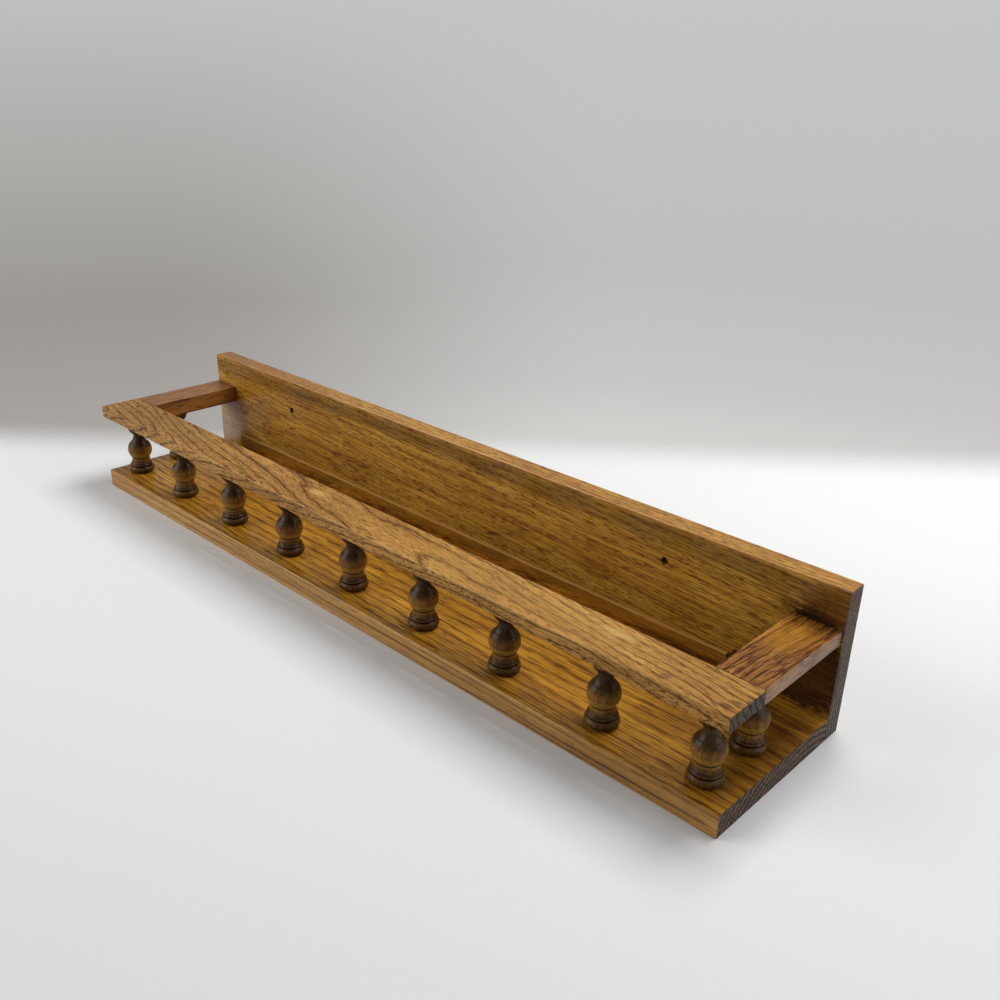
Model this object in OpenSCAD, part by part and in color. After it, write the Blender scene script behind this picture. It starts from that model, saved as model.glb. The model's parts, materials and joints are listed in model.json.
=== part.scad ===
// Wall plate rack: a back board and a shelf board with a spindle gallery.
// A thin strip runs along the foot of the back board.
// Nine front spindles carry the front rail and one spindle carries each side
// rail. Every spindle has a turned tenon at both ends, glued in a blind hole.
// X runs along the rack, Y from the front to the wall, Z up.
// The origin is the centre of the footprint, on the underside of the shelf.

/* [Boards] */
// Overall length of the rack
rack_l = 650; // [645:1:720]
// Overall depth, from the front edge to the wall
rack_d = 135; // [130:1:160]
// Height of the back board
back_h = 102; // [98:1:140]
// Thickness of the back board and of the shelf board
board_t = 15.5; // [15:0.5:20]
// Radius of the lightly sanded long edges
ease_r = 0.7; // [0.3:0.1:1.5]

/* [Foot strip] */
// Height of the thin strip glued along the foot of the back board
strip_h = 15.2; // [10:0.1:24]
// Thickness of the foot strip
strip_t = 2.6; // [2:0.1:4]
// Distance from the left end of the rack to the strip
strip_left_in = 35; // [20:1:80]
// Distance from the right end of the rack to the strip
strip_right_in = 71; // [20:1:80]

/* [Rails] */
// Width of the front rail
front_rail_w = 35; // [33:0.5:40]
// Width of the left side rail
side_rail_left_w = 28.5; // [28:0.5:34]
// Width of the right side rail
side_rail_right_w = 31.5; // [28:0.5:34]
// Thickness of the front rail and the right side rail
rail_t = 9.8; // [9.5:0.1:14]
// Thickness of the left side rail, which hangs lower
side_rail_left_t = 14.5; // [14:0.1:15.5]
// How far the right end of the gallery stands in from the end of the rack
rail_inset = 1.2; // [0.2:0.1:3]

/* [Spindles] */
// Height of a spindle between its two shoulders
spindle_h = 51; // [50:0.5:60]
// Distance from each end of the rack to its corner spindle
corner_in = 20.2; // [16:0.1:24]
// Distance from the front edge to the row of front spindles
front_row_in = 20.2; // [18:0.1:22]
// Distance from the wall to the left side spindle
side_left_in = 71; // [60:0.1:78]
// Distance from the wall to the right side spindle
side_right_in = 73.3; // [60:0.1:78]
// Diameter of the beads at both ends
foot_d = 21.7; // [21:0.1:22.4]
// Diameter of the ball
bulb_d = 20.7; // [19.6:0.1:21]
// Diameter of the neck above the ball
neck_d = 8.8; // [8:0.1:9.5]
// Diameter of the cup above the neck
cup_d = 17.4; // [16.5:0.1:18.5]
// Diameter of the tenons
tenon_d = 6.35; // [5:0.05:7]

/* [Fixings] */
// Diameter of the two wall screw holes
wall_hole_d = 5.2; // [4:0.1:8]
// Distance between the wall screw holes, one stud spacing
wall_hole_pitch = 406.4; // [300:0.1:500]
// How far the pair of holes was drilled left of the middle
wall_hole_shift = 3.3; // [0:0.1:8]
// Height of the wall screw holes above the underside
wall_hole_z = 75.3; // [60:0.1:85]
// Number of screws from the back board into the shelf board
shelf_screw_n = 4; // [3:1:6]
// Clearance round tenons, dowels and screws
fit_gap = 0.1; // [0.05:0.05:0.2]

/* [Hidden] */
$fn = 48;
eps = 0.05;
overcut = 1;

front_y = -rack_d / 2;
wall_y = rack_d / 2;
back_face_y = wall_y - board_t;
rail_z = board_t + spindle_h;
rail_mid_z = rail_z + rail_t / 2;
rail_rear_y = front_y + front_rail_w;
front_n = 9;
spindle_pitch = (rack_l - 2 * corner_in) / (front_n - 1);

// hand drilling: how many steps each front spindle stands off its even pitch
drift_step = 0.5;
drift = [2, 0, 0, 1, 3, 1, 0, 6, -3];

// turned spindle, heights measured from its lower shoulder
bead_h = 6.4;
bead_round = 3.4;
ring_h = 2.1;
ring_r = 9.5;
waist_r = 7.6;
waist_z = 13;
cove_top_r = 8.9;
bulb_z = 21.3;
neck_z = 35.3;
hollow_bite = 0.12;
cup_drop = 7.5;
lower_tenon = 9;
upper_tenon = 6;
tenon_bevel = 0.6;
glue_room = 0.5;

// radii and meeting heights that follow from the sizes above
bulb_r = bulb_d / 2;
neck_r = neck_d / 2;
cup_r = cup_d / 2;
cup_z = spindle_h - cup_drop;
cove_drop = waist_z - bead_h - ring_h;
cove_r = (cove_drop * cove_drop / (cove_top_r - waist_r) + cove_top_r - waist_r) / 2;
groove_z = bulb_z - sqrt(bulb_r * bulb_r - waist_r * waist_r);

// hollow that draws the ball up into the neck: its radius, where it just
// touches both, and the radius of the spindle at the touching point
neck_rise = neck_z - bulb_z;
hollow_r = (neck_rise * neck_rise / (bulb_r - neck_r) - bulb_r - neck_r) / 2;
touch_r = bulb_r * (neck_r + hollow_r) / (bulb_r + hollow_r);

// countersunk wood screws: shank, head, length
shelf_screw_d = 4;
shelf_screw_head = 8;
shelf_screw_l = 42;
rail_screw_d = 3.2;
rail_screw_head = 6.4;
rail_screw_l = 40;
shelf_screw = [shelf_screw_d, shelf_screw_head, shelf_screw_l];
rail_screw = [rail_screw_d, rail_screw_head, rail_screw_l];
screw_sink = 0.4;
screw_tip = 6;
screw_point_d = 0.6;
screw_end_in = 100;
slot_share = 0.6;
slot_w = 0.9;
slot_deep = 1.2;
dowel_d = 5;
dowel_l = 20;
dowel_in_front = 8;
dowel_end_in = 11;

// rectangle with chosen corners eased: low left, low right, top right, top left
module eased(w, h, corners) {
  r = ease_r;
  at = [[0, 0], [w, 0], [w, h], [0, h]];
  way = [[1, 1], [-1, 1], [-1, -1], [1, -1]];
  difference() {
    square([w, h]);
    for (i = [0:3]) if (corners[i] == 1)
      translate(at[i]) difference() {
        translate([way[i][0] * r / 2, way[i][1] * r / 2]) square(r + eps, center = true);
        translate(way[i] * r) circle(r);
      }
  }
}

// bar along X from x0, section corner at y0, z0
module bar_x(x0, y0, z0, len, w, h, corners)
  translate([x0, y0, z0]) rotate([90, 0, 90]) linear_extrude(len) eased(w, h, corners);

// bar along Y from y0, section corner at x0, z0
module bar_y(x0, y0, z0, len, w, h, corners)
  translate([x0, y0 + len, z0]) rotate([90, 0, 0]) linear_extrude(len) eased(w, h, corners);

// band of the half profile between two heights, as wide as w
module band(z0, z1, w) translate([0, z0]) square([w, z1 - z0]);

// bead and ring at either end of the half profile
module end_bead() {
  intersection() {
    union() {
      translate([foot_d / 2 - bead_round, bead_h / 2]) circle(bead_round);
      band(0, bead_h, foot_d / 2 - bead_round);
    }
    band(0, bead_h, foot_d);
  }
  translate([ring_r - ring_h / 2, bead_h + ring_h / 2]) circle(ring_h / 2);
  band(bead_h - eps, bead_h + ring_h, ring_r - ring_h / 2);
}

// part of a ball on the axis, between two heights
module ball(r, z, from, to) intersection() {
  translate([0, z]) circle(r);
  band(from, to, r);
}

// half profile of the turned body between its shoulders
module turned_profile() {
  end_bead();
  difference() {
    band(bead_h + ring_h - eps, groove_z + eps, waist_r + cove_r);
    translate([waist_r + cove_r, waist_z]) circle(cove_r, $fn = 96);
  }
  difference() {
    union() {
      ball(bulb_r, bulb_z, groove_z, bulb_z + bulb_r);
      band(bulb_z, neck_z, touch_r);
    }
    translate([neck_r + hollow_r - hollow_bite, neck_z]) circle(hollow_r, $fn = 96);
  }
  band(bulb_z, cup_z, neck_r);
  ball(cup_r, cup_z, cup_z - cup_r, cup_z);
  band(cup_z - eps, spindle_h - bead_h, cup_r - ring_h / 2);
  translate([0, spindle_h]) mirror([0, 1]) end_bead();
}

// tenon with a bevelled end, growing upwards from z = 0
module tenon(len) {
  cylinder(h = len - tenon_bevel, d = tenon_d);
  translate([0, 0, len - tenon_bevel])
    cylinder(h = tenon_bevel, d1 = tenon_d, d2 = tenon_d - 2 * tenon_bevel);
}

// a spindle, with its upper bead shortened by trim under a thicker rail
module spindle(x, y, trim = 0) color("#4a301a") translate([x, y, board_t]) {
  rotate_extrude() intersection() {
    turned_profile();
    band(0, spindle_h - trim, foot_d);
  }
  rotate([180, 0, 0]) translate([0, 0, -eps]) tenon(lower_tenon + eps);
  translate([0, 0, spindle_h - trim - eps]) tenon(upper_tenon + eps);
}

// place of each spindle
function front_x(i) =
  (i - 1) * spindle_pitch - side_x + drift[i - 1] * drift_step;
front_row_y = front_y + front_row_in;
side_x = rack_l / 2 - corner_in;
side_left_x = (side_rail_left_w - rack_l) / 2;
side_left_y = wall_y - side_left_in;
left_trim = side_rail_left_t - rail_t;
side_right_y = wall_y - side_right_in;
module spindle_front(i) spindle(front_x(i), front_row_y);
module spindle_side_left() spindle(side_left_x, side_left_y, left_trim);
module spindle_side_right() spindle(side_x, side_right_y);

// blind holes for the tenons
module socket(x, y, z, deep) translate([x, y, z]) cylinder(h = deep, d = tenon_d + 2 * fit_gap);
module lower_socket(x, y)
  socket(x, y, board_t - lower_tenon - glue_room, lower_tenon + glue_room + overcut);
module upper_socket(x, y, trim = 0)
  socket(x, y, rail_z - trim - overcut, upper_tenon + glue_room + overcut);

// countersunk screw driven from the wall side towards the front
module screw(x, z, size) {
  shank = size[0] / 2;
  head = size[1] / 2;
  translate([x, wall_y - screw_sink, z]) rotate([90, 0, 0]) difference() {
    union() {
      cylinder(h = head - shank, r1 = head, r2 = shank);
      translate([0, 0, head - shank - eps])
        cylinder(h = size[2] - screw_tip - head + shank + eps, r = shank);
      translate([0, 0, size[2] - screw_tip]) cylinder(h = screw_tip, d1 = size[0], d2 = screw_point_d);
    }
    for (a = [0, 90]) rotate(a) translate([-slot_share * head, -slot_w / 2, -overcut])
      cube([2 * slot_share * head, slot_w, slot_deep + overcut]);
  }
}

// hole that such a screw fills
module screw_hole(x, z, size) {
  shank = size[0] / 2 + fit_gap;
  head = size[1] / 2 + fit_gap;
  translate([x, wall_y - screw_sink, z]) rotate([90, 0, 0]) {
    translate([0, 0, -overcut]) cylinder(h = overcut + eps, r = head);
    cylinder(h = head - shank, r1 = head, r2 = shank);
    cylinder(h = size[2] + glue_room, r = shank);
  }
}

shelf_screw_z = board_t / 2;
function shelf_screw_x(i) =
  (rack_l / 2 - screw_end_in) * (2 * i / (shelf_screw_n - 1) - 1);
rail_screw_x = [side_left_x, (rack_l - side_rail_right_w) / 2 - rail_inset];

module shelf_screw_holes()
  for (i = [0:shelf_screw_n - 1]) screw_hole(shelf_screw_x(i), shelf_screw_z, shelf_screw);
module rail_screw_holes() for (x = rail_screw_x) screw_hole(x, rail_mid_z, rail_screw);

dowel_x = rack_l / 2 - dowel_end_in;
module dowel(x, grow, room)
  translate([x, rail_rear_y - dowel_in_front - room, rail_mid_z]) rotate([-90, 0, 0])
    cylinder(h = dowel_l + 2 * room, d = dowel_d + 2 * grow);
module dowel_holes() for (x = [-dowel_x, dowel_x]) dowel(x, fit_gap, glue_room);

module back_board() color("#8a5f33") difference() {
  bar_x(-rack_l / 2, back_face_y, 0, rack_l, board_t, back_h, [0, 1, 1, 1]);
  for (s = [-0.5, 0.5])
    translate([s * wall_hole_pitch - wall_hole_shift, wall_y + overcut, wall_hole_z])
      rotate([90, 0, 0]) cylinder(h = board_t + 2 * overcut, d = wall_hole_d);
  shelf_screw_holes();
  rail_screw_holes();
}

module shelf_board() color("#a06a34") difference() {
  bar_x(-rack_l / 2, front_y, 0, rack_l, rack_d - board_t, board_t, [1, 0, 0, 1]);
  for (i = [1:front_n]) lower_socket(front_x(i), front_row_y);
  lower_socket(side_left_x, side_left_y);
  lower_socket(side_x, side_right_y);
  shelf_screw_holes();
}

module foot_strip() color("#8f6030")
  bar_x(strip_left_in - rack_l / 2, back_face_y - strip_t, board_t,
        rack_l - strip_left_in - strip_right_in, strip_t, strip_h, [0, 0, 0, 1]);

module front_rail() color("#a8764a") difference() {
  bar_x(-rack_l / 2, front_y, rail_z, rack_l - rail_inset, front_rail_w, rail_t, [1, 1, 1, 1]);
  for (i = [1:front_n]) upper_socket(front_x(i), front_row_y);
  dowel_holes();
}

side_rail_l = back_face_y - rail_rear_y;
module side_rail_left() color("#9a6a3c") difference() {
  bar_y(-rack_l / 2, rail_rear_y, rail_z - left_trim, side_rail_l,
        side_rail_left_w, side_rail_left_t, [1, 1, 1, 1]);
  upper_socket(side_left_x, side_left_y, left_trim);
  rail_screw_holes();
  dowel_holes();
}

module side_rail_right() color("#9a6a3c") difference() {
  bar_y(rack_l / 2 - rail_inset - side_rail_right_w, rail_rear_y, rail_z, side_rail_l,
        side_rail_right_w, rail_t, [1, 1, 1, 1]);
  upper_socket(side_x, side_right_y);
  rail_screw_holes();
  dowel_holes();
}

module shelf_screws() color("silver")
  for (i = [0:shelf_screw_n - 1]) screw(shelf_screw_x(i), shelf_screw_z, shelf_screw);
module side_rail_screws() color("silver")
  for (x = rail_screw_x) screw(x, rail_mid_z, rail_screw);
module corner_dowels() color("#c8a06a") for (x = [-dowel_x, dowel_x]) dowel(x, 0, 0);

back_board();
shelf_board();
foot_strip();
front_rail();
side_rail_left();
side_rail_right();
spindle_front(1);  // spindle_front_1
spindle_front(2);  // spindle_front_2
spindle_front(3);  // spindle_front_3
spindle_front(4);  // spindle_front_4
spindle_front(5);  // spindle_front_5
spindle_front(6);  // spindle_front_6
spindle_front(7);  // spindle_front_7
spindle_front(8);  // spindle_front_8
spindle_front(9);  // spindle_front_9
spindle_side_left();
spindle_side_right();
shelf_screws();
side_rail_screws();
corner_dowels();
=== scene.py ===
"""Looks of an oak wall plate rack with a turned spindle gallery.

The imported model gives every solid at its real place. This script dresses those
solids in procedural oak, stained spindle wood and zinc plated steel, and sets
up the floor, the soft light and the camera.
"""

from __future__ import annotations

import json
import logging
import math
from dataclasses import dataclass
from enum import Enum

import bpy
import numpy as np
from mathutils import Matrix, Vector

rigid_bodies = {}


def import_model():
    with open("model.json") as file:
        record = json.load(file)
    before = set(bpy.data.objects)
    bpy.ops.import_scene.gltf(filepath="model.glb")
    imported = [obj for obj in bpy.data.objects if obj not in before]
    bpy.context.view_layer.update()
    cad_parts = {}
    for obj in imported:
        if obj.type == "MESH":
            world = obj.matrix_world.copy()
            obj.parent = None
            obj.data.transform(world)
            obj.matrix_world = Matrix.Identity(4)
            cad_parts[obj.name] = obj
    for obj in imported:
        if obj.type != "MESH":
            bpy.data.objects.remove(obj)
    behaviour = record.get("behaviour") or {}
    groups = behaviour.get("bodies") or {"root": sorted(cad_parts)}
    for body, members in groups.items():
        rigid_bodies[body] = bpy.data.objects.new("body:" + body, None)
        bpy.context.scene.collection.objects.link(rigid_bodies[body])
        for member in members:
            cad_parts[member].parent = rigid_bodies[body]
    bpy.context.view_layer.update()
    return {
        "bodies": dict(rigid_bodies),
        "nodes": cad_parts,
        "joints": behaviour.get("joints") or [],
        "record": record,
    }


LOG = logging.getLogger("plate_rack")
MM = 0.001

Tree = bpy.types.NodeTree
Socket = bpy.types.NodeSocket
Triple = tuple[float, float, float]
Stops = tuple[tuple[float, float | str], ...]

# Sockets of a Mix node that is set to colours, by number, as their names repeat.
SHARE, UNDER, OVER, MIXED = 0, 6, 7, 2

# Noise cells in mm, the first number along the fibres and the others across.
SLOW_BEND_CELL = (150.0, 55.0, 55.0)  # how the trunk leaned as it grew
QUICK_BEND_CELL = (32.0, 11.0, 11.0)  # how the fibres ripple on the way
TONE_CELL = (120.0, 14.0, 14.0)  # streaks of the paler and the darker body tone
# Real fibres are 0.02 mm thick, too fine to show, and are drawn 1.2 mm wide.
THREAD_CELL = (50.0, 1.2, 1.2)
# The pores of a sawn end are 0.3 mm wide, and are drawn 1.25 mm wide to show.
SPECK_CELL = (50.0, 1.25, 1.25)
# The soft rim of a mark, stain or painted shade alike, is ragged in tufts of 3.8 mm.
RAGGED_CELL = (1000.0 / 260.0,) * 3
# Plating crystals are under 0.5 mm, and are drawn at 2 mm to show on a screw.
CRYSTAL_CELL = (2.0, 2.0, 2.0)

# One year's ring, as places from its start at 0 to its end at 1.
SEAM_SHADE = 0.35  # half dark where two years meet
EARLY_AT = 0.08  # the early wood is fully dark here
EARLY_SPAN = 0.22  # it stays dark over this much of the ring
FADE_SPAN = 0.47  # and has faded after this much
EARLY_SHADE = 0.7
FADED_SHADE = 0.12
LATE_AT = 0.85  # the late wood is palest here

# A pore opens where its noise, lifted at a ring's start, passes the cut.
PORE_CUT = 0.66
PORE_CUT_DROP = 0.08
PORE_RING_LIFT = 0.16

TONE_STOPS = ((0.32, 0.0), (0.68, 1.0))
THREAD_STOPS = ((0.42, 0.0), (0.60, 1.0))

# The sawn end mixes the rings with the speckle of the cut pores.
SPECK_GAIN = 1.7
SPECK_BASE = -0.35
END_RING_SHARE = 0.6
END_STOPS = ((0.42, 0.0), (0.9, 1.0))
# Cosine between a face's normal and the fibres, at which the end starts to show.
END_FACING = ((0.75, 0.0), (0.9, 1.0))

MARK_RIM = 1.25  # where a mark ends, in half sizes, with the raggedness added
MARK_RAGGED = 0.5
BAND_CORE = 0.5  # the middle share of a band that has its full strength
NOISE_MIDDLE = (0.5, 0.5, 0.5)

# Relief and gloss of the open pores and the ring starts under the varnish.
RING_SINK = 0.35
RELIEF_STRENGTH = 0.35
RELIEF_MM = 0.25
GLOSS_LOSS = 0.18
VARNISH_IOR = 1.5
END_COAT_SHARE = 0.1


def linear(code: str) -> tuple[float, float, float, float]:
    """Turns an sRGB hex colour into linear light.

    Args:
        code: six hex digits after a hash sign.

    Returns:
        Linear red, green and blue, with an alpha of one.
    """
    parts = np.array([int(code[i : i + 2], 16) for i in (1, 3, 5)]) / 255.0
    low, high = parts / 12.92, ((parts + 0.055) / 1.055) ** 2.4
    return (*np.where(parts <= 0.04045, low, high).tolist(), 1.0)


def add_node(
    tree: Tree,
    kind: str,
    feeds: dict[int | str, object] | None = None,
    **settings: object,
) -> bpy.types.Node:
    """Adds one node with its settings, values and links.

    Args:
        tree: the node tree that the node goes into.
        kind: the node's type name after "ShaderNode".
        feeds: input name or number to a value, or to the socket that feeds it.
        settings: properties of the node itself.

    Returns:
        The new node.
    """
    node = tree.nodes.new("ShaderNode" + kind)
    for key, value in settings.items():
        setattr(node, key, value)
    for key, value in (feeds or {}).items():
        if isinstance(value, bpy.types.NodeSocket):
            tree.links.new(value, node.inputs[key])
        else:
            node.inputs[key].default_value = value
    return node


def set_ramp(node: bpy.types.Node, stops: Stops) -> Socket:
    """Gives a colour ramp its stops.

    Args:
        node: the colour ramp node.
        stops: pairs of position and either a grey value in linear light or an
            sRGB hex colour, lowest position first.

    Returns:
        The ramp's colour socket.
    """
    elements = node.color_ramp.elements
    while len(elements) < len(stops):
        elements.new(1.0)
    for element, (place, shade) in zip(elements, stops):
        element.position = place
        if isinstance(shade, str):
            element.color = linear(shade)
        else:
            element.color = (shade, shade, shade, 1.0)
    return node.outputs["Color"]


def cloud_of(tree: Tree, point: Socket, cell: Triple, detail: float) -> bpy.types.Node:
    """Lays a noise over the points, with each coordinate over the cell's size.

    Args:
        tree: the node tree that the noise goes into.
        point: the points in metres.
        cell: the size of one noise cell along each axis, in mm.
        detail: how many finer layers the noise has.

    Returns:
        The noise node, whose first output is its value.
    """
    per_metre = [1 / (size * MM) for size in cell]
    scaled = add_node(
        tree, "VectorMath", {0: point, 1: per_metre}, operation="MULTIPLY"
    ).outputs[0]
    return add_node(
        tree, "TexNoise", {"Vector": scaled, "Scale": 1.0, "Detail": detail}
    )


def blank_material(name: str) -> tuple[bpy.types.Material, Tree]:
    """Makes a material without nodes.

    Args:
        name: the real material's name.

    Returns:
        The material and its empty node tree.
    """
    material = bpy.data.materials.new(name)
    material.use_nodes = True
    material.node_tree.nodes.clear()
    return material, material.node_tree


class Grain(Enum):
    """Which way the fibres run: the turn that lays them along X, and their axis."""

    ALONG_RACK = ((0.0, 0.0, 0.0), (1.0, 0.0, 0.0))
    TO_WALL = ((0.0, 0.0, -90.0), (0.0, 1.0, 0.0))
    UPRIGHT = ((0.0, 90.0, 0.0), (0.0, 0.0, 1.0))

    @property
    def turn(self) -> list[float]:
        """Turn about each axis, in radians."""
        return [math.radians(angle) for angle in self.value[0]]

    @property
    def axis(self) -> Triple:
        """Unit vector along the fibres, in the rack's frame."""
        return self.value[1]


@dataclass(frozen=True)
class Mark:
    """A stain, knot or pale patch in the wood, or a patch of painted shade, highlight
    or reflection, as an ellipsoid with a soft edge.

    The colour is strongest at the centre and ends at the half sizes. Places and
    sizes are in mm in the rack's frame, and the turn is in degrees.
    """

    centre: Triple
    half: Triple
    colour: str
    strength: float = 0.8
    soft: float = 0.5
    turn: Triple = (0.0, 0.0, 0.0)


@dataclass(frozen=True)
class Band:
    """A level band of colour between two heights in mm, soft at both edges."""

    low: float
    high: float
    colour: str
    strength: float = 0.7


@dataclass(frozen=True)
class OakFinish:
    """Plain-sawn red oak under a worn satin varnish.

    The growth rings are cylinders round a pith line that lies beside the board
    and runs a little askew to it, so one solid pattern gives the tall arches
    on a flat face, the straight lines on an edge and the arcs on an end. Other
    woods take the same build with finer and fainter pores.
    """

    name: str
    grain: Grain
    light: str  # the paler of the two body tones
    body: str  # the darker of the two
    dark: str  # early wood and the shaded fibres
    pore: str
    end_light: str  # sawn end, late wood
    end_dark: str  # sawn end, early wood and cut pores
    pith: tuple[float, float] = (20.0, -90.0)  # mm across the fibres
    skew: tuple[float, float] = (0.5, 1.0)  # degrees off the fibres
    ring: float = 3.4  # mm from one year to the next
    ring_line: float = 1.0  # width of the early wood, where 1 is half a ring
    wander: float = 9.0  # mm that the slow bend can move the fibres
    ripple: float = 1.6  # mm that the quick bend can
    figure: float = 0.55  # strength of the rings
    # Oak's pores are dashes 0.3 mm wide, too fine to show, so they are drawn 0.7
    # to 1 mm wide. Their length is a real one.
    pore_depth: float = 0.75  # strength of the pores' colour
    pore_length: float = 15.0
    pore_width: float = 1.0
    pore_share: float = 0.5  # how much of the wood they take, up to 1
    pore_edge: float = 0.04
    fibre: float = 0.22  # strength of the shaded fibres
    roughness: float = 0.42
    specular: float = 0.08  # of the wood itself, under the varnish
    coat: float = 0.3
    coat_roughness: float = 0.18
    marks: tuple[Mark, ...] = ()
    bands: tuple[Band, ...] = ()

    def build(self) -> bpy.types.Material:
        """Makes the material.

        Returns:
            The finished material, ready for a node's slot.
        """
        material, tree = blank_material(self.name)
        place = add_node(tree, "TexCoord").outputs["Object"]
        grown = self._grown(tree, place)
        rings = self._rings(tree, grown)
        pores = self._pores(tree, grown, rings)
        side = self._side_colour(tree, grown, rings, pores)
        end, is_end = self._end_colour(tree, grown, rings)
        colour = add_node(
            tree, "Mix", {SHARE: is_end, UNDER: side, OVER: end}, data_type="RGBA"
        ).outputs[MIXED]
        for mark in self.marks:
            colour = self._marked(tree, place, colour, mark)
        for band in self.bands:
            colour = self._banded(tree, place, colour, band)
        self._surface(tree, colour, rings, pores, is_end)
        return material

    def _grown(self, tree: Tree, place: Socket) -> Socket:
        """Lays the coordinates along the fibres and bends them as the tree grew.

        A slow noise moves them across by the wander and a quick one by the
        ripple, both ways from the middle of the noise.

        Args:
            tree: the material's node tree.
            place: the Object coordinates.

        Returns:
            The bent coordinates in metres, with X along the pith line.
        """
        laid = add_node(
            tree,
            "Mapping",
            {"Vector": place, "Rotation": self.grain.turn},
            vector_type="POINT",
        ).outputs[0]
        askew = (0.0, math.radians(self.skew[0]), math.radians(self.skew[1]))
        shift = (0.0, -self.pith[0] * MM, -self.pith[1] * MM)
        point = add_node(
            tree,
            "Mapping",
            {"Vector": laid, "Rotation": askew, "Location": shift},
            vector_type="POINT",
        ).outputs[0]
        for reach, cell in (
            (self.wander, SLOW_BEND_CELL),
            (self.ripple, QUICK_BEND_CELL),
        ):
            cloud = cloud_of(tree, point, cell, detail=2.0).outputs["Color"]
            centred = add_node(
                tree, "VectorMath", {0: cloud, 1: NOISE_MIDDLE}, operation="SUBTRACT"
            ).outputs[0]
            both_ways = (0.0, 2 * reach * MM, 2 * reach * MM)
            point = add_node(
                tree,
                "VectorMath",
                {0: centred, 1: both_ways, 2: point},
                operation="MULTIPLY_ADD",
            ).outputs[0]
        return point

    def _rings(self, tree: Tree, grown: Socket) -> Socket:
        """Works out how dark the growth ring is at each point.

        The distance from the pith line over the ring's width, less its whole
        part, is the place within the year, and the ramp gives its darkness.

        Args:
            tree: the material's node tree.
            grown: the bent coordinates.

        Returns:
            The darkness, 1 in the early wood and 0 in the late wood.
        """
        flat = add_node(
            tree, "VectorMath", {0: grown, 1: (0.0, 1.0, 1.0)}, operation="MULTIPLY"
        ).outputs[0]
        radius = add_node(
            tree, "VectorMath", {0: flat}, operation="LENGTH"
        ).outputs["Value"]
        count = add_node(
            tree, "Math", {0: radius, 1: self.ring * MM}, operation="DIVIDE"
        ).outputs[0]
        part = add_node(tree, "Math", {0: count}, operation="FRACT").outputs[0]
        return set_ramp(
            add_node(tree, "ValToRGB", {0: part}),
            (
                (0.0, SEAM_SHADE),
                (EARLY_AT, 1.0),
                (EARLY_AT + EARLY_SPAN * self.ring_line, EARLY_SHADE),
                (EARLY_AT + FADE_SPAN * self.ring_line, FADED_SHADE),
                (LATE_AT, 0.0),
                (1.0, SEAM_SHADE),
            ),
        )

    def _pores(self, tree: Tree, grown: Socket, rings: Socket) -> Socket:
        """Opens the pores: dashes along the fibres, most where a ring starts.

        Args:
            tree: the material's node tree.
            grown: the bent coordinates.
            rings: the darkness of the growth ring.

        Returns:
            1 in a pore and 0 beside it.
        """
        cell = (self.pore_length, self.pore_width, self.pore_width)
        cloud = cloud_of(tree, grown, cell, detail=1.0).outputs[0]
        lifted = add_node(
            tree,
            "Math",
            {0: rings, 1: PORE_RING_LIFT * self.pore_share, 2: cloud},
            operation="MULTIPLY_ADD",
        ).outputs[0]
        cut = PORE_CUT - PORE_CUT_DROP * self.pore_share
        return set_ramp(
            add_node(tree, "ValToRGB", {0: lifted}),
            ((cut - self.pore_edge, 0.0), (cut + self.pore_edge, 1.0)),
        )

    def _side_colour(
        self, tree: Tree, grown: Socket, rings: Socket, pores: Socket
    ) -> Socket:
        """Colours a long face: two body tones, the fibres, the rings, the pores.

        Args:
            tree: the material's node tree.
            grown: the bent coordinates.
            rings: the darkness of the growth ring.
            pores: where the pores are.

        Returns:
            The colour.
        """
        cloud = cloud_of(tree, grown, TONE_CELL, detail=3.0).outputs[0]
        tone = set_ramp(add_node(tree, "ValToRGB", {0: cloud}), TONE_STOPS)
        colour = add_node(
            tree,
            "Mix",
            {SHARE: tone, UNDER: linear(self.body), OVER: linear(self.light)},
            data_type="RGBA",
        ).outputs[MIXED]
        thread = cloud_of(tree, grown, THREAD_CELL, detail=2.0).outputs[0]
        fibres = set_ramp(add_node(tree, "ValToRGB", {0: thread}), THREAD_STOPS)
        for share, strength, tint in (
            (fibres, self.fibre, self.dark),
            (rings, self.figure, self.dark),
            (pores, self.pore_depth, self.pore),
        ):
            amount = add_node(
                tree, "Math", {0: share, 1: strength}, operation="MULTIPLY"
            ).outputs[0]
            colour = add_node(
                tree,
                "Mix",
                {SHARE: amount, UNDER: colour, OVER: linear(tint)},
                data_type="RGBA",
            ).outputs[MIXED]
        return colour

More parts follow.
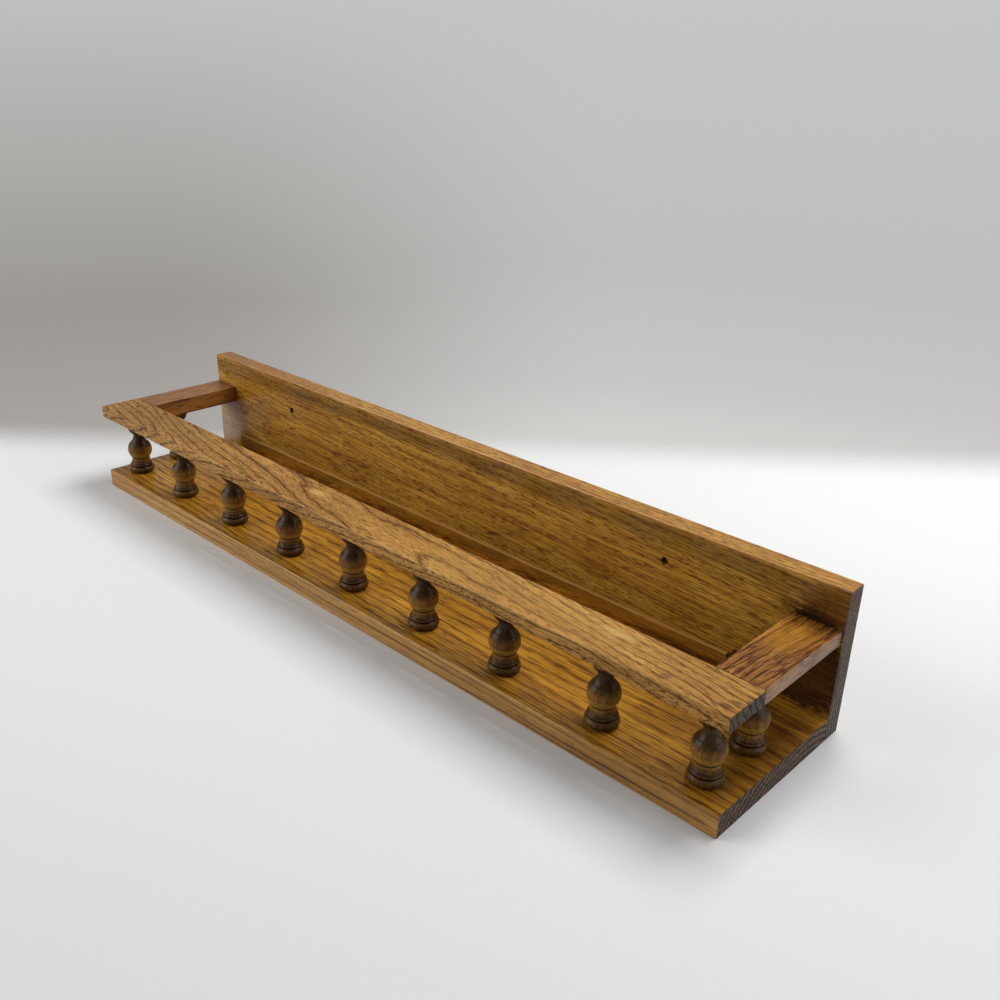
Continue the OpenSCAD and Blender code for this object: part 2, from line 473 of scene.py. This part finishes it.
    def _end_colour(
        self, tree: Tree, grown: Socket, rings: Socket
    ) -> tuple[Socket, Socket]:
        """Colours a sawn end, where the rings are arcs full of cut pores.

        Args:
            tree: the material's node tree.
            grown: the bent coordinates.
            rings: the darkness of the growth ring.

        Returns:
            The colour, and a mask that is 1 where a face looks along the fibres.
        """
        speck = cloud_of(tree, grown, SPECK_CELL, detail=2.0).outputs[0]
        gritty = add_node(
            tree,
            "Math",
            {0: speck, 1: SPECK_GAIN, 2: SPECK_BASE},
            operation="MULTIPLY_ADD",
        ).outputs[0]
        mixed = add_node(
            tree,
            "Math",
            {0: rings, 1: END_RING_SHARE, 2: gritty},
            operation="MULTIPLY_ADD",
        ).outputs[0]
        share = set_ramp(add_node(tree, "ValToRGB", {0: mixed}), END_STOPS)
        colour = add_node(
            tree,
            "Mix",
            {SHARE: share, UNDER: linear(self.end_light), OVER: linear(self.end_dark)},
            data_type="RGBA",
        ).outputs[MIXED]
        normal = add_node(tree, "NewGeometry").outputs["Normal"]
        facing = add_node(
            tree, "VectorMath", {0: normal, 1: self.grain.axis}, operation="DOT_PRODUCT"
        ).outputs["Value"]
        size = add_node(tree, "Math", {0: facing}, operation="ABSOLUTE").outputs[0]
        mask = set_ramp(add_node(tree, "ValToRGB", {0: size}), END_FACING)
        return colour, mask

    def _marked(self, tree: Tree, place: Socket, colour: Socket, mark: Mark) -> Socket:
        """Lays one mark over the colour.

        A point's reach is its distance from the centre, with each coordinate
        over the half size. With some noise on it, that fades the mark out.

        Args:
            tree: the material's node tree.
            place: the Object coordinates.
            colour: the colour under the mark.
            mark: the mark.

        Returns:
            The colour with the mark.
        """
        moved = add_node(
            tree,
            "VectorMath",
            {0: place, 1: [c * MM for c in mark.centre]},
            operation="SUBTRACT",
        ).outputs[0]
        turn = [math.radians(angle) for angle in mark.turn]
        turned = add_node(
            tree, "Mapping", {"Vector": moved, "Rotation": turn}, vector_type="POINT"
        ).outputs[0]
        scaled = add_node(
            tree,
            "VectorMath",
            {0: turned, 1: [1 / (h * MM) for h in mark.half]},
            operation="MULTIPLY",
        ).outputs[0]
        reach = add_node(
            tree, "VectorMath", {0: scaled}, operation="LENGTH"
        ).outputs["Value"]
        ragged = cloud_of(tree, place, RAGGED_CELL, detail=2.0).outputs[0]
        edge = add_node(
            tree,
            "Math",
            {0: ragged, 1: MARK_RAGGED, 2: reach},
            operation="MULTIPLY_ADD",
        ).outputs[0]
        inside = add_node(
            tree,
            "MapRange",
            {
                "Value": edge,
                "From Min": MARK_RIM - mark.soft,
                "From Max": MARK_RIM,
                "To Min": mark.strength,
                "To Max": 0.0,
            },
            interpolation_type="SMOOTHSTEP",
        ).outputs[0]
        return add_node(
            tree,
            "Mix",
            {SHARE: inside, UNDER: colour, OVER: linear(mark.colour)},
            data_type="RGBA",
        ).outputs[MIXED]

    def _banded(self, tree: Tree, place: Socket, colour: Socket, band: Band) -> Socket:
        """Lays a level band over the colour, by the height from its middle.

        Args:
            tree: the material's node tree.
            place: the Object coordinates.
            colour: the colour under the band.
            band: the band.

        Returns:
            The colour with the band.
        """
        middle = (band.low + band.high) / 2 * MM
        half = (band.high - band.low) / 2 * MM
        height = add_node(tree, "SeparateXYZ", {0: place}).outputs["Z"]
        away = add_node(
            tree, "Math", {0: height, 1: middle}, operation="SUBTRACT"
        ).outputs[0]
        size = add_node(tree, "Math", {0: away}, operation="ABSOLUTE").outputs[0]
        inside = add_node(
            tree,
            "MapRange",
            {
                "Value": size,
                "From Min": BAND_CORE * half,
                "From Max": half,
                "To Min": band.strength,
                "To Max": 0.0,
            },
            interpolation_type="SMOOTHSTEP",
        ).outputs[0]
        return add_node(
            tree,
            "Mix",
            {SHARE: inside, UNDER: colour, OVER: linear(band.colour)},
            data_type="RGBA",
        ).outputs[MIXED]

    def _surface(
        self, tree: Tree, colour: Socket, rings: Socket, pores: Socket, is_end: Socket
    ) -> None:
        """Joins colour, gloss and relief, and feeds the material's output.

        Pores and ring starts sink a little and are duller. The sawn ends drank
        the varnish, so little of its gloss is left on them.

        Args:
            tree: the material's node tree.
            colour: the finished colour.
            rings: the darkness of the growth ring.
            pores: where the pores are.
            is_end: where a sawn end shows.
        """
        depth = add_node(
            tree, "Math", {0: rings, 1: RING_SINK, 2: pores}, operation="MULTIPLY_ADD"
        ).outputs[0]
        relief = add_node(
            tree,
            "Bump",
            {"Height": depth, "Strength": RELIEF_STRENGTH, "Distance": RELIEF_MM * MM},
            invert=True,
        ).outputs[0]
        gloss = add_node(
            tree,
            "Math",
            {0: depth, 1: GLOSS_LOSS, 2: self.roughness},
            operation="MULTIPLY_ADD",
        ).outputs[0]
        coat = add_node(
            tree,
            "MapRange",
            {
                "Value": is_end,
                "To Min": self.coat,
                "To Max": END_COAT_SHARE * self.coat,
            },
        ).outputs[0]
        shader = add_node(
            tree,
            "BsdfPrincipled",
            {
                "Base Color": colour,
                "Roughness": gloss,
                "Specular IOR Level": self.specular,
                "Coat Weight": coat,
                "Coat Roughness": self.coat_roughness,
                "Coat IOR": VARNISH_IOR,
                "Normal": relief,
            },
        )
        add_node(tree, "OutputMaterial", {"Surface": shader.outputs[0]})


@dataclass(frozen=True)
class ZincFinish:
    """Zinc plated steel: a dull silver with a faint crystal mottle."""

    name: str = "zinc plated steel"
    bright: str = "#c9cbc8"
    dull: str = "#9a9c98"
    roughness: float = 0.38

    def build(self) -> bpy.types.Material:
        """Makes the material, a metal whose colour drifts from crystal to crystal.

        Returns:
            The finished material, ready for a node's slot.
        """
        material, tree = blank_material(self.name)
        place = add_node(tree, "TexCoord").outputs["Object"]
        crystal = cloud_of(tree, place, CRYSTAL_CELL, detail=3.0).outputs[0]
        colour = add_node(
            tree,
            "Mix",
            {SHARE: crystal, UNDER: linear(self.dull), OVER: linear(self.bright)},
            data_type="RGBA",
        ).outputs[MIXED]
        shader = add_node(
            tree,
            "BsdfPrincipled",
            {"Base Color": colour, "Metallic": 1.0, "Roughness": self.roughness},
        )
        add_node(tree, "OutputMaterial", {"Surface": shader.outputs[0]})
        return material


# The dark line where the shelf board meets the back board, on their sawn ends.
CORNER_SEAM = Mark((325.0, 52.0, 7.5), (2.0, 0.8, 9.0), "#120d0a", 0.9, 0.8)

# Oak brushed with a golden varnish. It gives a warm honey face, finely dashed
# with dark pores and softly glossy, and dull brown ends.
BACK_OAK = OakFinish(
    name="varnished oak, back board",
    grain=Grain.ALONG_RACK,
    light="#c7983a",
    body="#af7e29",
    dark="#73400f",
    pore="#4e2308",
    end_light="#6c5a4b",
    end_dark="#19130d",
    pith=(150.0, 40.0),
    skew=(-3.5, 0.8),
    ring=3.0,
    wander=2.4,
    ripple=0.4,
    figure=0.25,
    pore_length=7.0,
    pore_width=0.95,
    pore_depth=0.7,
    pore_share=0.45,
    fibre=0.7,
    coat=0.2,
    coat_roughness=0.16,
    marks=(
        # Above the right side rail: glue smear, black seam and a brown shade.
        Mark((308.0, 52.0, 78.0), (34.0, 4.0, 18.0), "#180b04", 0.85, 0.9),
        Mark((308.0, 52.0, 77.0), (20.0, 3.0, 4.5), "#0e0703", 0.9, 0.6),
        Mark((320.0, 52.0, 90.0), (30.0, 4.0, 28.0), "#4a2410", 0.55, 0.9),
        # Painted shade on the face under that rail, and a painted reflection of the
        # bright floor in the varnish at the left end.
        Mark((306.0, 52.0, 42.0), (38.0, 6.0, 32.0), "#260b02", 0.88, 0.3),
        Mark((-319.0, 52.0, 41.0), (36.0, 3.0, 29.0), "#a8978a", 0.6, 0.3),
        # A small dark spot at the end of the foot strip and a streak right of the
        # middle.
        Mark((260.0, 52.0, 29.0), (6.0, 5.0, 8.0), "#1a0802", 0.9, 0.5),
        Mark((45.6, 52.0, 41.0), (14.0, 4.0, 2.4), "#3a2106", 0.75, 0.8, (0, 12, 0)),
        CORNER_SEAM,
        # A painted highlight along the upper edge, and the top face, browner towards
        # the left in painted shade.
        Mark((0.0, 52.2, 101.9), (400.0, 1.0, 1.0), "#e0b070", 0.6, 0.9),
        Mark((0.0, 60.0, 102.0), (900.0, 16.0, 2.5), "#86604a", 0.22, 0.3),
        Mark((-290.0, 60.0, 102.0), (190.0, 16.0, 4.0), "#7a4a26", 0.6, 0.9),
    ),
    bands=(Band(86.0, 101.0, "#4a2c0c", 0.4),),
)

# The same oak in broader rings. It is a little redder, with long pores, and its
# front face is rubbed pale between dark streaks.
SHELF_OAK = OakFinish(
    name="varnished oak, shelf board",
    grain=Grain.ALONG_RACK,
    light="#c18b2a",
    body="#a2701c",
    dark="#693a0a",
    pore="#421e08",
    end_light="#665041",
    end_dark="#110a06",
    pith=(30.0, -70.0),
    skew=(0.3, 0.6),
    ring=4.6,
    ring_line=0.55,
    wander=3.5,
    ripple=0.7,
    figure=0.5,
    fibre=0.4,
    pore_length=18.0,
    pore_width=0.7,
    pore_share=0.8,
    marks=(
        # A painted highlight along the upper edge, and the paler front face.
        Mark((0.0, -67.4, 15.3), (400.0, 1.2, 1.2), "#c79c5c", 0.6, 0.9),
        Mark((0.0, -67.5, 7.0), (600.0, 2.6, 13.0), "#d2a872", 0.34, 0.5),
        # Painted shade browning the right end: on top under the side rail, and on the
        # front face.
        Mark((302.0, -8.0, 15.5), (80.0, 76.0, 5.0), "#3c1d08", 0.42, 0.9),
        Mark((270.0, -67.5, 7.0), (110.0, 3.0, 14.0), "#4a2c10", 0.3, 0.9),
        # Six dark streaks along the front face.
        Mark((-190.0, -67.5, 10.6), (170.0, 1.6, 0.9), "#6a4422", 0.85, 0.8),
        Mark((-110.0, -67.5, 4.4), (220.0, 1.6, 0.8), "#6a4422", 0.85, 0.8),
        Mark((70.0, -67.5, 8.4), (190.0, 1.6, 1.0), "#5e3a18", 0.85, 0.8),
        Mark((150.0, -67.5, 12.4), (150.0, 1.6, 0.7), "#5e3a18", 0.85, 0.8),
        Mark((250.0, -67.5, 5.6), (110.0, 1.6, 1.1), "#4c2c10", 0.85, 0.8),
        Mark((190.0, -67.5, 2.2), (160.0, 1.6, 0.9), "#4c2c10", 0.85, 0.8),
        CORNER_SEAM,
    ),
)

# Thin oak with hardly any varnish left: dull, with a painted highlight as a pale line
# along its top.
STRIP_OAK = OakFinish(
    name="varnished oak, foot strip",
    grain=Grain.ALONG_RACK,
    light="#c88424",
    body="#ac6a19",
    dark="#6a3f09",
    pore="#4a2804",
    end_light="#5c4a38",
    end_dark="#2c1e14",
    pith=(150.0, 10.0),
    ring=2.6,
    wander=3.0,
    ripple=0.5,
    pore_length=12.0,
    pore_width=0.9,
    pore_share=0.9,
    fibre=0.6,
    coat=0.05,
    # The second band, thin and pale, is the painted highlight along the top.
    bands=(Band(22.0, 31.0, "#94681f", 0.5), Band(29.6, 32.0, "#cfa055", 0.7)),
)

# Oak worn by hands. The varnish is thin, so the top is matt, and the ring arches
# and short pores stand out on it.
FRONT_RAIL_OAK = OakFinish(
    name="varnished oak, front rail",
    grain=Grain.ALONG_RACK,
    light="#c08e45",
    body="#9d6f30",
    dark="#603b13",
    pore="#3d1f07",
    end_light="#50412f",
    end_dark="#150e09",
    pith=(-46.0, 40.0),
    skew=(2.4, 9.0),
    ring=4.8,
    ring_line=0.35,
    ripple=1.4,
    figure=0.75,
    fibre=0.3,
    pore_length=9.0,
    pore_width=0.75,
    pore_share=0.9,
    coat=0.12,
    marks=(
        # A painted highlight along the front edge, and the top, browner at the left
        # than the right.
        Mark((0.0, -67.4, 76.1), (400.0, 0.9, 0.9), "#d0a468", 0.4, 0.9),
        Mark((-250.0, -50.0, 76.3), (150.0, 40.0, 4.0), "#5a3818", 0.36, 0.9),
        Mark((190.0, -50.0, 76.3), (170.0, 40.0, 4.0), "#dcae66", 0.16, 0.9),
        # Pale spots, a pin knot at the left and dents near the right end.
        Mark((-39.0, -45.5, 76.0), (13.0, 5.0, 3.0), "#c49a5a", 0.7, 0.7),
        Mark((-304.0, -44.0, 76.0), (2.2, 1.8, 2.0), "#2a160a", 0.9, 0.5),
        Mark((236.0, -43.0, 76.0), (20.0, 5.0, 3.0), "#c0a060", 0.6, 0.7),
        Mark((279.0, -60.0, 76.0), (4.0, 7.0, 3.0), "#5a3c28", 0.6, 0.7, (0, 0, 30)),
        Mark((310.0, -62.0, 76.0), (9.0, 1.6, 3.0), "#4a2c18", 0.6, 0.7, (0, 0, 30)),
        Mark((316.5, -60.0, 76.0), (5.0, 3.0, 2.0), "#4a3020", 0.7, 0.6),
        # The seams with the two side rails.
        Mark((307.0, -32.5, 72.0), (20.0, 0.9, 8.0), "#20120a", 0.8, 0.8),
        Mark((-311.0, -32.5, 72.0), (17.0, 0.9, 8.0), "#20120a", 0.8, 0.8),
    ),
)

# A redder piece of oak, plain and finely pored.
LEFT_RAIL_OAK = OakFinish(
    name="varnished oak, left side rail",
    grain=Grain.TO_WALL,
    light="#9e6a34",
    body="#8a562a",
    dark="#573512",
    pore="#38200c",
    end_light="#5c4e44",
    end_dark="#1c1410",
    pith=(0.0, 120.0),
    skew=(0.6, 0.5),
    ring=3.0,
    wander=3.0,
    ripple=0.6,
    pore_width=0.8,
)

# A redder piece of oak with bold dark rings and deep pores.
RIGHT_RAIL_OAK = OakFinish(
    name="varnished oak, right side rail",
    grain=Grain.TO_WALL,
    light="#aa7230",
    body="#885724",
    dark="#4a2409",
    pore="#3c1c08",
    end_light="#5c4e44",
    end_dark="#1c1410",
    pith=(-14.0, 44.0),
    skew=(1.6, 3.0),
    ring=5.5,
    ring_line=0.5,
    wander=6.0,
    ripple=1.4,
    figure=0.65,
    fibre=0.55,
    coat=0.15,
    pore_depth=0.9,
    pore_edge=0.03,
    pore_length=11.0,
    pore_share=1.0,
    marks=(
        # The seam with the front rail and the glue smear at the back board.
        Mark((308.0, -32.5, 72.0), (20.0, 0.9, 8.0), "#20120a", 0.8, 0.8),
        Mark((308.0, 52.0, 74.0), (24.0, 2.2, 9.0), "#1c0d04", 0.8, 0.9),
        # A golden patch on top and the rubbed outer edge.
        Mark((306.0, 24.0, 76.0), (18.0, 34.0, 4.0), "#b8801f", 0.35, 0.8),
        Mark((324.6, 8.0, 71.0), (2.2, 90.0, 14.0), "#a08c7a", 0.42, 0.5),
    ),
)

# Birch turned on a lathe and stained, darker over the waist and foot. Painted shade
# darkens the neck, cup, upper ball and grooves, and a painted reflection of the lit
# shelf lightens the lower ball.
TURNED_BIRCH = OakFinish(
    name="stained birch, turned",
    grain=Grain.UPRIGHT,
    light="#986c26",
    body="#6f4812",
    dark="#3c2208",
    pore="#261204",
    end_light="#6e4716",
    end_dark="#3c2208",
    pith=(60.0, 10.0),
    ring=2.4,
    wander=3.0,
    figure=0.4,
    pore_depth=0.35,
    pore_length=6.0,
    pore_width=0.7,
    roughness=0.4,
    coat=0.17,
    coat_roughness=0.22,
    bands=(
        # Painted shade on the neck, cup and upper ball, a painted reflection of the lit
        # shelf on the lower ball, the darker foot.
        Band(37.5, 60.0, "#140903", 0.8),
        Band(27.0, 36.0, "#aa843e", 0.45),
        Band(10.0, 29.5, "#1c0d05", 0.6),
        # Painted shade in three fine grooves.
        Band(21.2, 22.6, "#160a04", 0.8),
        Band(23.6, 24.8, "#160a04", 0.7),
        Band(28.6, 30.2, "#160a04", 0.85),
    ),
)

# Beech as it leaves the dowel mill: pale, close and without any gloss.
BARE_BEECH = OakFinish(
    name="bare beech dowel",
    grain=Grain.TO_WALL,
    light="#cfae84",
    body="#c09c70",
    dark="#a5825a",
    pore="#8d6a44",
    end_light="#b8956c",
    end_dark="#94734e",
    pore_length=3.0,
    pore_width=0.4,
    figure=0.3,
    pore_depth=0.4,
    roughness=0.6,
    coat=0.0,
)


def dress(node: bpy.types.Object, material: bpy.types.Material) -> None:
    """Puts one material in every slot of a carried-over solid.

    Args:
        node: the solid.
        material: its new finish.
    """
    if not node.material_slots:
        node.data.materials.append(material)
    for slot in node.material_slots:
        slot.material = material
    LOG.info("%s: %s", node.name, material.name)


@dataclass
class Boards:
    """The back board, the shelf board and the thin strip at their corner."""

    back: OakFinish = BACK_OAK
    shelf: OakFinish = SHELF_OAK
    strip: OakFinish = STRIP_OAK

    def dress(self, nodes: dict[str, bpy.types.Object]) -> None:
        """Gives each board its own finish.

        Args:
            nodes: the rack's solids by name.
        """
        dress(nodes["back_board"], self.back.build())
        dress(nodes["shelf_board"], self.shelf.build())
        dress(nodes["foot_strip"], self.strip.build())


@dataclass
class Gallery:
    """The three rails and the eleven turned spindles."""

    front_count: int = 9
    front: OakFinish = FRONT_RAIL_OAK
    left: OakFinish = LEFT_RAIL_OAK
    right: OakFinish = RIGHT_RAIL_OAK
    turned: OakFinish = TURNED_BIRCH

    def dress(self, nodes: dict[str, bpy.types.Object]) -> None:
        """Dresses the rails and shares one turned finish among the spindles.

        Args:
            nodes: the rack's solids by name.
        """
        dress(nodes["front_rail"], self.front.build())
        dress(nodes["side_rail_left"], self.left.build())
        dress(nodes["side_rail_right"], self.right.build())
        stained = self.turned.build()
        names = [f"spindle_front_{i}" for i in range(1, self.front_count + 1)]
        for name in names + ["spindle_side_left", "spindle_side_right"]:
            dress(nodes[name], stained)


@dataclass
class Fixings:
    """Wood screws from behind, and the two dowels inside the rail corners."""

    zinc: ZincFinish = ZincFinish()
    beech: OakFinish = BARE_BEECH

    def dress(self, nodes: dict[str, bpy.types.Object]) -> None:
        """Gives the screws one metal and the dowels bare wood.

        Args:
            nodes: the rack's solids by name.
        """
        metal = self.zinc.build()
        dress(nodes["shelf_screws"], metal)
        dress(nodes["side_rail_screws"], metal)
        dress(nodes["corner_dowels"], self.beech.build())


@dataclass(frozen=True)
class Lamp:
    """A square softbox: its place and aim in m, its width in m and its watts."""

    name: str
    place: Triple
    aim: Triple
    width: float
    power: float

    def build(self) -> None:
        """Adds the softbox to the scene, turned to its aim."""
        light = bpy.data.lights.new(self.name, "AREA")
        light.shape = "SQUARE"
        light.size = self.width
        light.energy = self.power
        holder = bpy.data.objects.new(self.name, light)
        toward = Vector(self.aim) - Vector(self.place)
        holder.location = self.place
        holder.rotation_euler = toward.to_track_quat("-Z", "Y").to_euler()
        bpy.context.scene.collection.objects.link(holder)
        LOG.info("%s: %.0f W", self.name, self.power)


@dataclass
class Studio:
    """A pale floor, soft light from three lamps and the photograph's camera.

    The camera's place and its axes were solved from the rack's straight edges,
    for a square picture. Lengths are in metres. Behind the rack the white floor
    gives way to a shaded backdrop: the floor fades out there and the world shows
    that shade. The floor also fades out on every side, so that no view shows
    its edge.
    """

    floor_half: float = 2.0
    floor_cells: int = 24
    floor_roughness: float = 0.6
    floor_specular: float = 0.1
    # The floor's tones stand in for light: darker in front of the rack, paler behind it
    # where the tabletop's sheen shows.
    front_tone: str = "#d6d7d8"
    back_tone: str = "#e4e4e4"
    # Distances along the view, from the middle of the rack: where the floor has
    # each tone, and where it gives way to the backdrop.
    front_at: float = -0.363
    back_at: float = 0.211
    turn_from: float = 0.235
    turn_to: float = 0.34
    # Distances from the middle of the rack at which the floor fades out.
    fade_from: float = 0.9
    fade_to: float = 1.7
    sky_colour: str = "#f4f3f1"
    sky_level: float = 0.12
    # The backdrop's tones from its foot to its top, and those of its darker left
    # part. The rise of a direction places it between foot and top, and its lean
    # to the right says how much of each part there is.
    wall_tones: Stops = (
        (0.0, "#f0f0ee"),
        (0.07, "#d4d4d1"),
        (0.2, "#c8c7c5"),
        (0.45, "#bebebc"),
        (0.77, "#c3c4c2"),
        (1.0, "#c4c6c4"),
    )
    left_tones: Stops = (
        (0.0, "#dcdad8"),
        (0.1, "#aaa6a2"),
        (0.365, "#9b9793"),
        (0.57, "#a7a6a3"),
        (0.77, "#b4b5b2"),
        (1.0, "#c3c5c2"),
    )
    foot_rise: float = -0.38
    top_rise: float = 0.06
    right_lean: float = 0.13
    left_lean: float = -0.33
    lamps: tuple[Lamp, ...] = (
        Lamp("overhead softbox", (0.25, 0.55, 1.3), (0.2, 0.2, 0.0), 0.7, 16.0),
        Lamp("window at the left", (-1.0, -1.1, 0.8), (0.0, 0.0, 0.05), 1.2, 19.0),
        Lamp("window at the right", (1.4, 0.5, 0.8), (0.0, 0.0, 0.05), 1.2, 9.0),
    )
    # The camera: sensor and lens in mm, then its solved place and axes.
    sensor: float = 36.0
    focal: float = 36.724
    near_clip: float = 0.01
    eye: Triple = (0.524518, -0.454916, 0.376145)
    ahead: Triple = (-0.623836, 0.669541, -0.403167)
    rightwards: Triple = (0.723427, 0.689898, 0.026331)

    def build(self) -> None:
        """Makes the floor, the sky, the lamps and the camera, in that order."""
        scene = bpy.context.scene
        scene.view_settings.view_transform = "Standard"
        self._floor()
        self._sky(scene)
        for lamp in self.lamps:
            lamp.build()
        self._camera(scene)

    def _floor(self) -> None:
        """Lays the sheet that the rack stands on: height 0 on a square grid."""
        n = self.floor_cells + 1
        across = np.linspace(-self.floor_half, self.floor_half, n)
        x, y = np.meshgrid(across, across, indexing="ij")
        corners = np.stack([x, y, np.zeros_like(x)], axis=-1).reshape(-1, 3)
        i, j = np.meshgrid(np.arange(n - 1), np.arange(n - 1), indexing="ij")
        first = (i * n + j).ravel()
        quads = np.stack([first, first + n, first + n + 1, first + 1], axis=1)
        mesh = bpy.data.meshes.new("floor")
        mesh.from_pydata(corners.tolist(), [], quads.tolist())
        floor = bpy.data.objects.new("floor", mesh)
        bpy.context.scene.collection.objects.link(floor)
        material = self._tabletop()
        mesh.materials.append(material)
        LOG.info("%s: %s", floor.name, material.name)

    def _tabletop(self) -> bpy.types.Material:
        """Makes the floor's finish, matt and white with hardly any gloss.

        The tone goes from the front one to the back one along the view. The
        floor fades by the larger of two shares, one from the place along the
        view and one from the distance to the rack's middle.

        Returns:
            The finished material.
        """
        material, tree = blank_material("matt white tabletop")
        place = add_node(tree, "TexCoord").outputs["Object"]
        level = Vector((self.ahead[0], self.ahead[1], 0.0)).normalized()
        along = add_node(
            tree, "VectorMath", {0: place, 1: level}, operation="DOT_PRODUCT"
        ).outputs["Value"]
        behind = add_node(
            tree,
            "MapRange",
            {"Value": along, "From Min": self.turn_from, "From Max": self.turn_to},
            interpolation_type="SMOOTHSTEP",
        ).outputs[0]
        away = add_node(
            tree, "VectorMath", {0: place}, operation="LENGTH"
        ).outputs["Value"]
        far = add_node(
            tree,
            "MapRange",
            {"Value": away, "From Min": self.fade_from, "From Max": self.fade_to},
            interpolation_type="SMOOTHSTEP",
        ).outputs[0]
        share = add_node(
            tree, "Math", {0: behind, 1: far}, operation="MAXIMUM"
        ).outputs[0]
        depth = add_node(
            tree,
            "MapRange",
            {"Value": along, "From Min": self.front_at, "From Max": self.back_at},
        ).outputs[0]
        tone = add_node(
            tree,
            "Mix",
            {
                SHARE: depth,
                UNDER: linear(self.front_tone),
                OVER: linear(self.back_tone),
            },
            data_type="RGBA",
        ).outputs[MIXED]
        matt = add_node(
            tree,
            "BsdfPrincipled",
            {
                "Base Color": tone,
                "Roughness": self.floor_roughness,
                "Specular IOR Level": self.floor_specular,
            },
        ).outputs[0]
        gone = add_node(tree, "BsdfTransparent").outputs[0]
        shader = add_node(tree, "MixShader", {0: share, 1: matt, 2: gone})
        add_node(tree, "OutputMaterial", {"Surface": shader.outputs[0]})
        return material

    def _sky(self, scene: bpy.types.Scene) -> None:
        """Makes even light from all round, with the backdrop for camera and gloss.

        Args:
            scene: the scene that the world goes into.
        """
        world = bpy.data.worlds.new("soft room")
        scene.world = world
        world.use_nodes = True
        tree = world.node_tree
        tree.nodes.clear()
        path = add_node(tree, "LightPath")
        seen = path.outputs["Is Camera Ray"]
        for name in ("Is Glossy Ray", "Is Transmission Ray"):
            seen = add_node(
                tree, "Math", {0: seen, 1: path.outputs[name]}, operation="MAXIMUM"
            ).outputs[0]
        light = add_node(
            tree,
            "Background",
            {"Color": linear(self.sky_colour), "Strength": self.sky_level},
        ).outputs[0]
        way = add_node(tree, "TexCoord").outputs["Generated"]
        rise = add_node(tree, "SeparateXYZ", {0: way}).outputs["Z"]
        height = add_node(
            tree,
            "MapRange",
            {"Value": rise, "From Min": self.foot_rise, "From Max": self.top_rise},
        ).outputs[0]
        lean = add_node(
            tree, "VectorMath", {0: way, 1: self.rightwards}, operation="DOT_PRODUCT"
        ).outputs["Value"]
        leftness = add_node(
            tree,
            "MapRange",
            {"Value": lean, "From Min": self.right_lean, "From Max": self.left_lean},
            interpolation_type="SMOOTHSTEP",
        ).outputs[0]
        wall, left = (
            set_ramp(add_node(tree, "ValToRGB", {0: height}), tones)
            for tones in (self.wall_tones, self.left_tones)
        )
        tone = add_node(
            tree, "Mix", {SHARE: leftness, UNDER: wall, OVER: left}, data_type="RGBA"
        ).outputs[MIXED]
        # At a strength of 1 the backdrop renders as its colours are written.
        shown = add_node(
            tree, "Background", {"Color": tone, "Strength": 1.0}
        ).outputs[0]
        both = add_node(tree, "MixShader", {0: seen, 1: light, 2: shown}).outputs[0]
        add_node(tree, "OutputWorld", {"Surface": both})

    def _camera(self, scene: bpy.types.Scene) -> None:
        """Puts the camera where the photograph was taken from.

        Its axes are made square to each other, with the view's kept as it is.

        Args:
            scene: the scene that the camera is for.
        """
        eye = bpy.data.cameras.new("camera")
        eye.sensor_width = self.sensor
        eye.lens = self.focal
        eye.clip_start = self.near_clip
        holder = bpy.data.objects.new("camera", eye)
        ahead = Vector(self.ahead).normalized()
        right = Vector(self.rightwards)
        right = (right - ahead * right.dot(ahead)).normalized()
        up = right.cross(ahead)
        frame = Matrix((right, up, -ahead)).transposed().to_4x4()
        holder.matrix_world = Matrix.Translation(self.eye) @ frame
        scene.collection.objects.link(holder)
        scene.camera = holder
        LOG.info("%s: %.1f mm", holder.name, self.focal)


def main() -> None:
    """Loads the model, dresses it part by part and sets the studio up."""
    logging.basicConfig(level=logging.INFO, format="%(name)s: %(message)s")
    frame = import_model()
    nodes = frame["nodes"]
    for part in (Boards(), Gallery(), Fixings()):
        part.dress(nodes)
    Studio().build()


if __name__ == "__main__":
    main()
